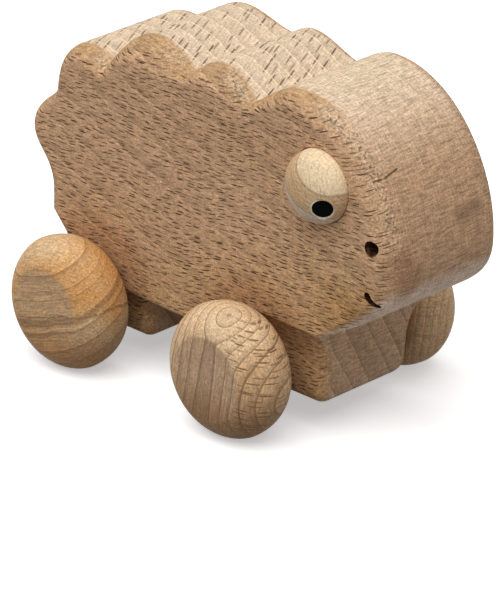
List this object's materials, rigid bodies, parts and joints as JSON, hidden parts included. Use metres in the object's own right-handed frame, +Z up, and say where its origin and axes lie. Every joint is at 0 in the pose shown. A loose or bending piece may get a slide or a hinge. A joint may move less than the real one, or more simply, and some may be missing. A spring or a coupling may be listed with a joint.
{
  "type": "wheeled sheep toy",
  "caption": "Wooden push-along sheep sawn from a thick block with a scalloped fleece, domed eyes let into both sides, and turned wheels on axles that roll.",
  "frame": {"origin": "on the ground under the middle of the toy's outer box", "axes": "+X forward towards the muzzle, +Y to the sheep's left, +Z up"},
  "size_m": [0.1296, 0.0784, 0.093],
  "materials": {
    "body": "plain sanded beech, faintly oiled",
    "eye": "plain sanded pale beech",
    "pupil": "black stain",
    "axle": "plain beech dowel",
    "wheel": "plain turned beech, faintly oiled"
  },
  "bodies": {
    "sheep": {"body": "body", "eye_right": "eye", "eye_left": "eye", "pupil_right": "pupil", "pupil_left": "pupil"},
    "front_wheels": {"front_axle": "axle", "front_right_wheel": "wheel", "front_left_wheel": "wheel"},
    "rear_wheels": {"rear_axle": "axle", "rear_right_wheel": "wheel", "rear_left_wheel": "wheel"}
  },
  "joints": [
    {"name": "front_axle_roll", "type": "hinge", "parent": "sheep", "child": "front_wheels", "pos_m": [0.01898, 0, 0.018], "axis": [0, 1, 0], "continuous": true},
    {"name": "rear_axle_roll", "type": "hinge", "parent": "sheep", "child": "rear_wheels", "pos_m": [-0.03978, 0, 0.018], "axis": [0, 1, 0], "continuous": true}
  ]
}
